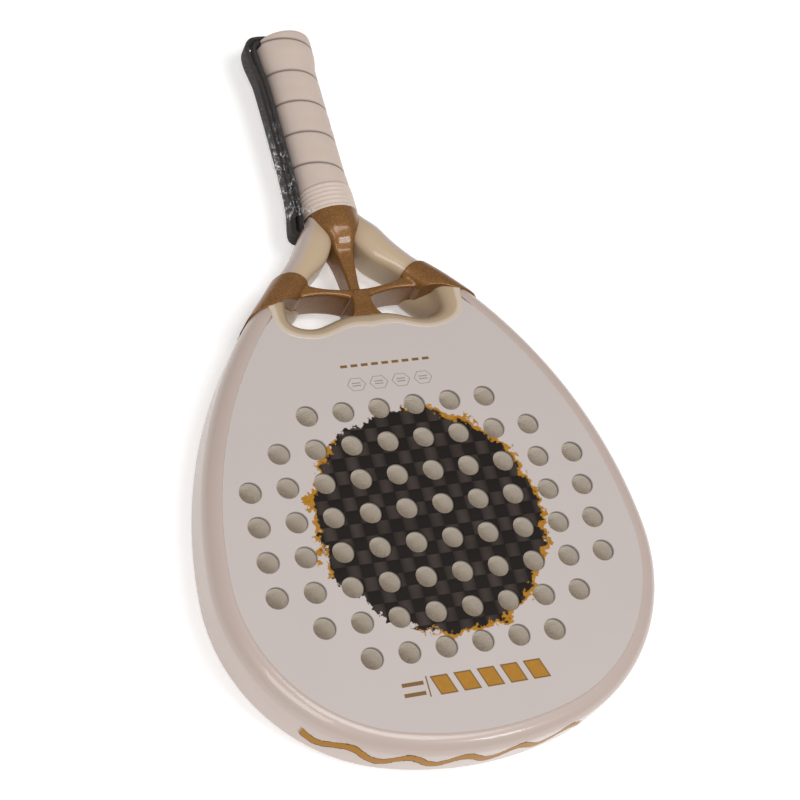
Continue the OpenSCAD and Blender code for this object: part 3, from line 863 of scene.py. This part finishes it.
class RACKET_OT_rim(bpy.types.Operator):
    """Sweeps the rounded rim round the head"""
    bl_idname = "racket.rim"
    bl_label = "Rim"

    def height(self, inset):
        """Height of the rounded rim this far in from the outline."""
        short = RIM_R - min(inset, RIM_R)
        return HEAD_T - RIM_R + math.sqrt(RIM_R ** 2 - short ** 2)

    def section(self, point, heading):
        """Offsets inwards from the outline and heights, stopping at the recess."""
        turn = math.radians(heading)
        inward = (-math.sin(turn), math.cos(turn))
        reach = TUBE_W
        side = [(q[1], q[0]) for q in reversed(RECESS_CURVE) if q[1] > 25.9 and q[0] > 50]
        while reach > 2:
            x = point[0] + inward[0] * reach
            y = point[1] + inward[1] * reach
            if y < 26 or x > look_up(side, y):
                break
            reach -= 0.1
        beside_face = point[1] + inward[1] * FACE_INSET < FACE_CORNER_Y
        edge = min(FACE_INSET, reach) if beside_face else reach - 0.15
        top = self.height(edge)
        ring = [(reach, top - 1.3), (edge + 0.1, top - 1.2), (edge, top - 0.04), (edge - 0.3, top)]
        for i in range(15):
            u = min(RIM_R - RIM_R * math.sin(math.radians(90 * i / 14)), edge - 0.3)
            ring.append((u, self.height(u)))
        for i in range(1, 6):
            ring.append((-0.25 * math.sin(math.pi * i / 6), HEAD_T - RIM_R - (HEAD_T - 2 * RIM_R) * i / 6))
        low = [(u, HEAD_T - z) for u, z in reversed(ring[:19])]
        middle_y = point[1] + inward[1] * TUBE_W / 2
        thin = arm_half_t(middle_y) / MID_Z
        return [(u, MID_Z + (z - MID_Z) * thin) for u, z in ring + low]

    def execute(self, context):
        colours = context.scene.racket_colours
        right = half_outline(0, 1.6)
        rings = []
        for side, points in ((-1, list(reversed(right))[:-1]), (1, right)):
            for x, y, heading in points:
                turn = math.radians(heading)
                rings.append([(side * (x - math.sin(turn) * u), y + math.cos(turn) * u, z)
                              for u, z in self.section((x, y), heading)])
        rim = loft("rim_shell", rings)
        finish_piece(rim, "pearl_paint", "rim_tube", materials=[pearl_material(colours)])
        return {"FINISHED"}


class RACKET_OT_faces(bpy.types.Operator):
    """Cuts both face skins, with their rows of holes"""
    bl_idname = "racket.faces"
    bl_label = "Faces"

    # A hole's edge is within this distance of its middle, and its sides are shorter than this
    hole_reach = 6.6
    longest_side = 1.2

    def hole_cutter(self, sizes):
        holes = []
        for j, count in enumerate(HOLE_ROWS):
            for i in range(count):
                x = (i - (count - 1) / 2) * HOLE_PITCH[0]
                y = HOLE_CENTRE_Y + (j - (len(HOLE_ROWS) - 1) / 2) * HOLE_PITCH[1]
                bpy.ops.mesh.primitive_cylinder_add(vertices=40, radius=sizes.hole_d / 2 * MM, depth=0.01,
                                                    location=(x * MM, y * MM, HEAD_T * MM))
                holes.append(bpy.context.object)
        return join(holes, "hole_cutter")

    def execute(self, context):
        sizes = context.scene.racket_sizes
        colours = context.scene.racket_colours
        right = [p[:2] for p in half_outline(FACE_INSET + 0.05) if p[1] < FACE_CORNER_Y]
        right += [q for q in RECESS_CURVE if q[1] < FACE_CORNER_Y]
        outline = right + [(-x, y) for x, y in reversed(right) if x > 0.01]
        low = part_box("face_front")[0][2] / MM
        front = plate("front_skin", outline, low, HEAD_T)
        deselect()
        cutter = self.hole_cutter(sizes)
        apply_modifier(front, "BOOLEAN", object=cutter, operation="DIFFERENCE", solver="EXACT")
        bpy.data.objects.remove(cutter)
        self.round_holes(front, sizes.hole_edge)
        choose(front)
        bpy.ops.object.duplicate()
        back = context.object
        back.name = "back_skin"
        bpy.ops.object.mode_set(mode="EDIT")
        bpy.ops.mesh.select_all(action="SELECT")
        bpy.ops.transform.mirror(constraint_axis=(False, False, True), center_override=(0, 0, MID_Z * MM))
        bpy.ops.mesh.normals_make_consistent(inside=False)
        bpy.ops.object.mode_set(mode="OBJECT")
        finish_piece(front, "face_paint", "face_front",
                     materials=[face_material("front_paint", colours, True)])
        finish_piece(back, "face_paint", "face_back",
                     materials=[face_material("back_paint", colours, False)])
        flatten_shading(front)
        flatten_shading(back)
        return {"FINISHED"}

    def round_holes(self, front, edge):
        """Rounds over the top edge of every hole."""
        choose(front)
        bpy.ops.object.mode_set(mode="EDIT")
        bpy.ops.mesh.select_mode(type="EDGE")
        bpy.ops.mesh.select_all(action="DESELECT")
        bpy.ops.object.mode_set(mode="OBJECT")
        top = HEAD_T * MM
        rim = [e for e in front.data.edges
               if all(abs(front.data.vertices[v].co.z - top) < 1e-6 for v in e.vertices)]
        for e in rim:
            a, b = (front.data.vertices[v].co for v in e.vertices)
            e.select = (a - b).length < self.longest_side * MM and self.near_hole(a)
        bpy.ops.object.mode_set(mode="EDIT")
        bpy.ops.mesh.bevel(offset=edge * MM, segments=3, profile=0.5)
        bpy.ops.mesh.select_mode(type="VERT")
        bpy.ops.object.mode_set(mode="OBJECT")

    def near_hole(self, place):
        rows = len(HOLE_ROWS)
        j = round((place.y / MM - HOLE_CENTRE_Y) / HOLE_PITCH[1] + (rows - 1) / 2)
        if not 0 <= j < rows:
            return False
        y = HOLE_CENTRE_Y + (j - (rows - 1) / 2) * HOLE_PITCH[1]
        count = HOLE_ROWS[j]
        i = round(place.x / MM / HOLE_PITCH[0] + (count - 1) / 2)
        x = (i - (count - 1) / 2) * HOLE_PITCH[0]
        return 0 <= i < count and math.hypot(place.x / MM - x, place.y / MM - y) < self.hole_reach


# ---- Throat ----

class RACKET_OT_bridge(bpy.types.Operator):
    """Shapes the scooped edge of the head round the lower windows"""
    bl_idname = "racket.bridge"
    bl_label = "Bridge"

    def section(self, edge, top, back):
        """One closed ring: over the scooped edge, down the wall and back up inside the head."""
        out = Vector(edge) - Vector(top)
        out = out.normalized() * 3
        ring = [(edge[0] + out.x, edge[1] + out.y, HEAD_T - 3)]
        ring.append((edge[0] + out.x * 0.15, edge[1] + out.y * 0.15, HEAD_T - 0.3))
        for i in range(11):
            a = math.radians(9 * i)
            share = math.sin(a)
            ring.append((edge[0] + (top[0] - edge[0]) * share, edge[1] + (top[1] - edge[1]) * share,
                         HEAD_T - SCOOP_DROP * (1 - math.cos(a))))
        for i in range(1, 7):
            share = smooth_step(0, 1, i / 6)
            ring.append((top[0] + (back[0] - top[0]) * share, top[1] + (back[1] - top[1]) * share,
                         HEAD_T - SCOOP_DROP - (HEAD_T - 2 * SCOOP_DROP) * i / 6))
        for i in range(1, 11):
            a = math.radians(90 - 9 * i)
            share = math.sin(a)
            ring.append((edge[0] + (back[0] - edge[0]) * share, edge[1] + (back[1] - edge[1]) * share,
                         SCOOP_DROP * (1 - math.cos(a))))
        ring.append((edge[0] + out.x, edge[1] + out.y, 3))
        return ring

    def execute(self, context):
        half = [self.section(*points) for points in zip(RECESS_CURVE, WALL_TOP_CURVE, WALL_BACK_CURVE)]
        other = [[(-x, y, z) for x, y, z in ring] for ring in reversed(half[:-1])]
        bridge = loft("window_scoops", half + other)
        for side in (1, -1):
            outline = [(side * x, y + 1) for x, y in CAP_LOWER] + [(side * 80, 80), (side * 25, 80)]
            if side < 0:
                outline.reverse()
            mask = plate("end_cutter", outline, -5, HEAD_T + 5)
            apply_modifier(bridge, "BOOLEAN", object=mask, operation="DIFFERENCE", solver="EXACT")
            bpy.data.objects.remove(mask)
        finish_piece(bridge, "beige_paint", "bridge",
                     materials=[scoop_material(context.scene.racket_colours)], angle=60)
        return {"FINISHED"}


class RACKET_OT_arms(bpy.types.Operator):
    """Sweeps the two arms, pearl on the outside and beige in front and within"""
    bl_idname = "racket.arms"
    bl_label = "Throat arms"

    def execute(self, context):
        colours = context.scene.racket_colours
        rings = []
        for x, y, heading in [s for s in arm_path() if s[1] > ARM_SHOWN_Y]:
            a, b = arm_half_w(y), arm_half_t(y)
            turn = math.radians(heading)
            ring = []
            for u, z in rounded_ring(a, b, (0.95 * a, 0.8 * a), 8):
                if u < 0:
                    u *= 1 + arm_swell(y) / a
                ring.append((x + u * math.sin(turn), y - u * math.cos(turn), MID_Z + z))
            rings.append(ring)
        arm = loft("arm_shell_right", rings)
        materials = [beige_material(colours), bpy.data.materials["pearl_lacquer"]]
        finish_piece(arm, "beige_paint", "arm_right", materials=materials)
        self.paint_outside(arm)
        left = mirror_copy(arm, "arm_shell_left")
        finish_piece(left, "beige_paint", "arm_left")
        return {"FINISHED"}

    def paint_outside(self, arm):
        """Faces that turn away from the middle take the pearl of the rim."""
        stations = arm_path()
        for face in arm.data.polygons:
            x, y = face.center.x / MM, face.center.y / MM
            near = min(stations, key=lambda s: math.hypot(s[0] - x, s[1] - y))
            turn = math.radians(near[2])
            outwards = face.normal.x * math.sin(turn) - face.normal.y * math.cos(turn)
            face.material_index = 1 if outwards > 0.2 else 0


# Lowest and highest level of the crossbar, half the depth of its foot, and the size of the voxels
# that blend them with the caps
BAR_LEVELS = (7.2, 31.2)
FOOT_HALF_DEPTH = 13.6
SADDLE_VOXEL = 0.55
# Lower and upper edge of the crossbar, from the middle to the right cap
BAR_LOWER = ((0, 45), (5.5, 45.8), (11, 47.6), (19, 49.2), (26, 49.7), (34, 49.4), (42, 48.5))
BAR_UPPER = ((46, 54), (40, 62), (33, 59.4), (28, 56.2), (20.5, 53.8), (13, 52.4), (6, 51.6), (0, 51.5))
FOOT = ((31, 11.5), (33.5, 9.4), (37, 7.2), (41, 6.1), (46, 5.6), (50, 4.4))


class RACKET_OT_crossbar(bpy.types.Operator):
    """Blends the crossbar, its foot and the two caps into one bronze saddle"""
    bl_idname = "racket.crossbar"
    bl_label = "Crossbar and caps"

    def cap(self):
        rings = []
        centre, radius, _, last = ARCS[-1]
        stations = []
        for k in range(8):
            heading = last - 12 + 12 * k / 8
            stations.append((*on_arc(centre, radius - TUBE_W / 2, heading), heading))
        stations += [s for s in arm_path() if s[1] < 74]
        for x, y, heading in stations:
            a = ARM_W / 2 + 0.9 + 0.6 * smooth_step(44, 56, y)
            b = arm_half_t(y) + 0.5 + 1.0 * smooth_step(40, 54, y)
            turn = math.radians(heading)
            rings.append([(x + u * math.sin(turn), y - u * math.cos(turn), MID_Z + z)
                          for u, z in rounded_ring(a, b, (0.92 * a, 0.8 * a), 7)])
        cap = loft("cap_blank", rings)
        # Round the side of the head the lower edge of the cap reaches further down
        outline = smooth_through(CAP_LOWER, 4) + smooth_through(CAP_UPPER, 4)
        levels = []
        for k in range(15):
            z = -2 + (HEAD_T + 4) * k / 14
            reach = 7 * max(0.0, 1 - abs((z - MID_Z) / MID_Z) ** 1.2)
            levels.append([(x, y - reach * smooth_step(57, 67, x) * smooth_step(50, 42, y), z)
                           for x, y in outline])
        mask = loft("cap_outline", levels)
        apply_modifier(cap, "BOOLEAN", object=mask, operation="INTERSECT", solver="EXACT")
        bpy.data.objects.remove(mask)
        return cap

    def bar(self):
        half = smooth_through(BAR_LOWER, 4) + smooth_through(BAR_UPPER, 4)
        outline = half + [(-x, y) for x, y in reversed(half) if x > 0.01]
        bar = plate("bar_blank", outline, *BAR_LEVELS)
        apply_modifier(bar, "BEVEL", width=1.7 * MM, segments=3, limit_method="ANGLE",
                       angle_limit=math.radians(50))
        return bar

    def foot(self):
        """A tapering upright under the crossbar, standing on the edge of the head."""
        rings = []
        for y, half in smooth_through(FOOT, 4):
            high = FOOT_HALF_DEPTH + 1.2 * smooth_step(44, 33, y)
            rings.append([(u, y, MID_Z + z) for u, z in rounded_ring(half, high, 1.8, 4)])
        return loft("foot_blank", rings)

    def execute(self, context):
        right = self.cap()
        left = mirror_copy(right, "cap_copy")
        saddle = join([self.bar(), self.foot(), right, left], "bronze_saddle")
        choose(saddle)
        saddle.data.remesh_voxel_size = SADDLE_VOXEL * MM
        saddle.data.remesh_voxel_adaptivity = 0.0
        bpy.ops.object.voxel_remesh()
        apply_modifier(saddle, "SMOOTH", factor=0.5, iterations=7)
        finish_piece(saddle, "bronze_paint", "crossbar", "cap_left", "cap_right",
                     materials=[bronze_material(context.scene.racket_colours)], angle=60)
        return {"FINISHED"}


# Stations of the neck: place along the racket, half width, half height, and how square it is
NECK = ((49.5, 3.4, 7.6, 9), (56, 3.2, 7.8, 9), (64, 3.7, 8.0, 9), (72, 4.6, 8.2, 9), (78, 5.8, 8.8, 8),
        (82, 6.8, 10.6, 7), (86, 8.0, 13.2, 6), (91, 11.4, 15.3, 4), (96, 15.0, 16.1, 2.6),
        (99.5, 16.0, 16.4, 2.2), (104.4, 16.6, 16.6, 2.0))


class RACKET_OT_neck(bpy.types.Operator):
    """Sweeps the strut up into the yoke below the handle"""
    bl_idname = "racket.neck"
    bl_label = "Strut and yoke"

    def execute(self, context):
        rings = []
        for y, half_w, half_t, power in smooth_through(NECK, 6):
            ring = []
            for i in range(56):
                a = 2 * math.pi * (i + 0.5) / 56
                c, s = math.cos(a), math.sin(a)
                reach = (abs(c) ** power + abs(s) ** power) ** (-1 / power)
                ring.append((half_w * reach * c, y, MID_Z + half_t * reach * s))
            rings.append(ring)
        neck = loft("bronze_neck", rings)
        finish_piece(neck, "bronze_paint", "strut", "yoke", materials=[bpy.data.materials["bronze_flake"]],
                     angle=50)
        return {"FINISHED"}


# ---- Handle ----

def around_handle(y, radius, steps=80):
    """Ring of points round the handle; radius may be a function of the angle."""
    ring = []
    for i in range(steps):
        a = 2 * math.pi * i / steps
        r = radius(a) if callable(radius) else radius
        ring.append((r * math.cos(a), y, MID_Z + r * math.sin(a)))
    return ring


class RACKET_OT_grip(bpy.types.Operator):
    """Winds the grip band, each turn lapping the one before"""
    bl_idname = "racket.grip"
    bl_label = "Grip"

    inner_r = 14.65
    seam_y = 220.0
    seam_w = 0.9
    notch_y = 222.4
    end_rounding = 3.2

    def turn_of(self, y, angle, pitch):
        """Distance along the handle from the nearest seam of the helix that the band winds."""
        climb = pitch * (angle / (2 * math.pi) - 0.25)
        return (y - self.seam_y - climb + pitch / 2) % pitch - pitch / 2

    def radius(self, y, angle, sizes):
        flare = smooth_step(GRIP_END - 27, GRIP_END - 12, y)
        r = sizes.grip_r + (sizes.butt_r - sizes.grip_r) * flare
        r += 0.35 * (1 - smooth_step(COLLAR_END, COLLAR_END + 14, y))
        off = self.turn_of(y, angle, sizes.grip_pitch)
        r -= sizes.seam_depth * math.exp(-(off / (0.6 * self.seam_w)) ** 2)
        r += 0.16 * math.sin(math.pi * min(1, abs(off) / (sizes.grip_pitch / 2)))
        past = max(0.0, y - (GRIP_END - self.end_rounding))
        r -= self.end_rounding - math.sqrt(max(0.0, self.end_rounding ** 2 - past ** 2))
        z = r * math.sin(angle) + MID_Z
        if y > self.notch_y and math.cos(angle) < 0 and abs(z - STRAP_Z) < STRAP_W / 2 + 0.4:
            r = self.inner_r + 0.1
        return max(r, self.inner_r + 0.05)

    def execute(self, context):
        sizes = context.scene.racket_sizes
        start = COLLAR_END - 8
        rows = [start, COLLAR_END + 0.1]
        while rows[-1] < GRIP_END - 3.4:
            rows.append(rows[-1] + 0.5)
        rows += [GRIP_END - self.end_rounding + self.end_rounding * math.sin(math.radians(10 * k))
                 for k in range(1, 10)]
        rings = [around_handle(start, self.inner_r), around_handle(start, 15.0)]
        rings.append(around_handle(COLLAR_END, 15.0))
        for y in rows[1:]:
            rings.append(around_handle(y, lambda a, y=y: self.radius(y, a, sizes)))
        rings.append(around_handle(GRIP_END - 0.02, self.inner_r))
        rings.append(around_handle(start, self.inner_r))
        grip = loft("grip_band", rings, fill=False)
        # Mask of the painted shade along the laps, left off the ends of the band
        seam = grip.data.attributes.new("seam", "FLOAT", "POINT")
        for vertex, value in zip(grip.data.vertices, seam.data):
            x, y, z = vertex.co / MM
            off = self.turn_of(y, math.atan2(z - MID_Z, x) % (2 * math.pi), sizes.grip_pitch)
            inside = y > GRIP_END - 1.5 or y < COLLAR_END + 1
            value.value = 0.0 if inside else math.exp(-(off / (0.8 * self.seam_w)) ** 2)
        finish_piece(grip, "grip_band", "grip_wrap",
                     materials=[grip_material(context.scene.racket_colours)], angle=50)
        return {"FINISHED"}


class RACKET_OT_collar(bpy.types.Operator):
    """Turns the ribbed rubber collar"""
    bl_idname = "racket.collar"
    bl_label = "Collar"

    ribs = 6
    inner_r = 15.3
    outer_r = 16.75

    def execute(self, context):
        sizes = context.scene.racket_sizes
        rings = [around_handle(COLLAR_Y, self.inner_r)]
        steps = 12 * self.ribs
        for k in range(steps + 1):
            y = COLLAR_Y + (COLLAR_END - COLLAR_Y) * k / steps
            groove = abs(math.cos(math.pi * self.ribs * k / steps)) ** 4
            r = self.outer_r - sizes.rib_depth * groove - 0.35 * smooth_step(COLLAR_END - 4, COLLAR_END, y)
            rings.append(around_handle(y, r))
        rings.append(around_handle(COLLAR_END, self.inner_r))
        rings.append(around_handle(COLLAR_Y, self.inner_r))
        collar = loft("ribbed_collar", rings, fill=False)
        finish_piece(collar, "collar_rubber", "collar",
                     materials=[collar_material(context.scene.racket_colours)], angle=60)
        return {"FINISHED"}


# Route of the strap seen from the front: out of the cap, over the butt, down the left of the
# handle, round the end fold and back the same way. Each point is (x, y, thickness).
STRAP_ROUTE = (
    (-1.9, 212.8, 3.2), (-1.9, 220, 3.2), (-3.8, 223.3, 2.2), (-7, 225.2, 1.8), (-13, 226.2, 1.8),
    (-17.6, 225.2, 2), (-19.9, 221.4, 2.6), (-19.8, 215, 3.4), (-19.2, 206, 3.5), (-18.3, 196, 3.6),
    (-18.1, 160, 3.6), (-18.3, 130, 3.6), (-19.1, 112, 3.6), (-20.9, 100, 3.5), (-21.7, 95, 3.3),
    (-23.8, 93, 3.2), (-25.9, 95, 3.3), (-25.6, 100, 3.5), (-23.2, 112, 3.6), (-21.9, 130, 3.6),
    (-21.7, 160, 3.6), (-21.9, 196, 3.6), (-23, 206, 3.5), (-24.3, 215, 3.4), (-24, 223, 2.8),
    (-20.4, 227.9, 2.3), (-13, 228.9, 2.1), (-5, 227.9, 1.9), (-0.2, 225.4, 2.2), (1.9, 220, 3.2),
    (1.9, 212.8, 3.2))


class RACKET_OT_strap(bpy.types.Operator):
    """Lays the webbing strap along its route"""
    bl_idname = "racket.strap"
    bl_label = "Wrist strap"

    def execute(self, context):
        route = smooth_through(STRAP_ROUTE, 6)
        rings = []
        for i, (x, y, thick) in enumerate(route):
            before, after = route[max(i - 1, 0)], route[min(i + 1, len(route) - 1)]
            ahead = Vector((after[0] - before[0], after[1] - before[1])).normalized()
            ring = []
            for u, z in rounded_ring(thick / 2, STRAP_W / 2, 0.42 * thick, 4):
                u *= 1 - 0.12 * (2 * z / STRAP_W) ** 2
                ring.append((x + ahead.y * u, y - ahead.x * u, STRAP_Z + z))
            rings.append(ring)
        strap = loft("strap_webbing", rings)
        finish_piece(strap, "black_webbing", "wrist_strap",
                     materials=[webbing_material(context.scene.racket_colours)], angle=50)
        return {"FINISHED"}


# Stations of the film: place along the racket, radius, and reach over the strap
FILM = ((103.4, 17.3, 28.7), (104.6, 17.35, 28.5), (107, 17.4, 28.0), (122, 17.1, 26.1), (135, 16.6, 25.6),
        (170, 16.5, 25.4), (198, 16.8, 26), (212, 18.2, 29.6), (222, 18.3, 29.7), (226.6, 18.0, 27.6),
        (229.2, 17.2, 25.2), (230.1, 15.6, 22), (229.6, 13.4, 18.5))


class RACKET_OT_film(bpy.types.Operator):
    """Shrinks the clear film round handle and strap, creased where it gathers"""
    bl_idname = "racket.film"
    bl_label = "Film"

    around = 132
    thickness = 0.12

    def crease(self, a, y):
        """How creased the film is here: at its ends and along the strap."""
        ends = 0.75 * (1 - smooth_step(99, 111, y)) + 0.1 * smooth_step(224, 227, y)
        over_strap = max(0.0, -math.cos(a)) ** 6 * (1 - 0.85 * smooth_step(135, 205, y))
        return min(1.0, 0.12 + ends + 0.85 * over_strap)

    def execute(self, context):
        sizes = context.scene.racket_sizes
        rings = []
        stations = smooth_through(FILM, 14)
        for y, radius, reach in stations:
            ring = []
            for i in range(self.around):
                a = 2 * math.pi * i / self.around
                bulge = max(0.0, -math.cos(a)) ** 3
                ripple = (math.sin(9 * a + 0.11 * y) * math.sin(0.31 * y + 3 * math.sin(2 * a))
                          + 0.6 * math.sin(0.83 * y + 17 * a) * math.sin(0.17 * y - 5 * a))
                lift = sizes.crease * self.crease(a, y) * (0.5 + 0.5 * ripple)
                across = radius + (reach - radius) * bulge + lift
                up = radius + 0.35 * (reach - radius) * bulge + lift
                ring.append((across * math.cos(a), y, MID_Z + up * math.sin(a)))
            rings.append(ring)
        film = loft("shrink_wrap", rings, fill=False)
        mark = film.data.attributes.new("crease", "FLOAT", "POINT")
        for vertex, value in zip(film.data.vertices, mark.data):
            x, y, z = vertex.co / MM
            value.value = self.crease(math.atan2(z - MID_Z, x), y)
        apply_modifier(film, "SOLIDIFY", thickness=self.thickness * MM, offset=-1)
        finish_piece(film, "clear_film", "shrink_film",
                     materials=[film_material(context.scene.racket_colours)], angle=70)
        return {"FINISHED"}


class RACKET_OT_inner_parts(bpy.types.Operator):
    """Gives the foam, pallets, tape, butt cap, knot and staple their finishes"""
    bl_idname = "racket.inner_parts"
    bl_label = "Inner parts"

    def execute(self, context):
        colours = context.scene.racket_colours
        pallet = foam_material("pallet_foam_cells", colours.pallet, tuple(0.6 * c for c in colours.pallet))
        finishes = {
            "foam_core": foam_material("core_foam_cells", colours.foam, colours.foam_dark),
            "pallet_front": pallet,
            "pallet_back": pallet,
            "finishing_tape": plastic_material("tape_film", colours.tape, 0.45),
            "butt_cap": plastic_material("butt_cap_plastic", colours.plastic, 0.42),
            "strap_knot": bpy.data.materials["black_webbing_weave"],
            "grip_staple": steel_material(),
        }
        for node, material in finishes.items():
            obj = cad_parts[node]
            obj.data.materials.clear()
            obj.data.materials.append(material)
        return {"FINISHED"}


class RACKET_PT_panel(bpy.types.Panel):
    bl_label = "Padel Racket"
    bl_idname = "RACKET_PT_panel"
    bl_space_type = "VIEW_3D"
    bl_region_type = "UI"
    bl_category = "Racket"

    def draw(self, context):
        layout = self.layout
        for group in (context.scene.racket_sizes, context.scene.racket_colours):
            box = layout.box()
            for name in group.__annotations__:
                box.prop(group, name)
        for operator in OPERATORS:
            layout.operator(operator.bl_idname)


OPERATORS = (RACKET_OT_stage, RACKET_OT_rim, RACKET_OT_faces, RACKET_OT_bridge, RACKET_OT_arms,
             RACKET_OT_crossbar, RACKET_OT_neck, RACKET_OT_grip, RACKET_OT_collar, RACKET_OT_strap,
             RACKET_OT_film, RACKET_OT_inner_parts)
CLASSES = (RacketSizes, RacketColours) + OPERATORS + (RACKET_PT_panel,)


def register():
    for cls in CLASSES:
        bpy.utils.register_class(cls)
    bpy.types.Scene.racket_sizes = bpy.props.PointerProperty(type=RacketSizes)
    bpy.types.Scene.racket_colours = bpy.props.PointerProperty(type=RacketColours)


def unregister():
    del bpy.types.Scene.racket_colours
    del bpy.types.Scene.racket_sizes
    for cls in reversed(CLASSES):
        bpy.utils.unregister_class(cls)


def main():
    register()
    paint_mottle_group()
    for operator in OPERATORS:
        group, name = operator.bl_idname.split(".")
        getattr(getattr(bpy.ops, group), name)()
    deselect()


if __name__ == "__main__":
    main()
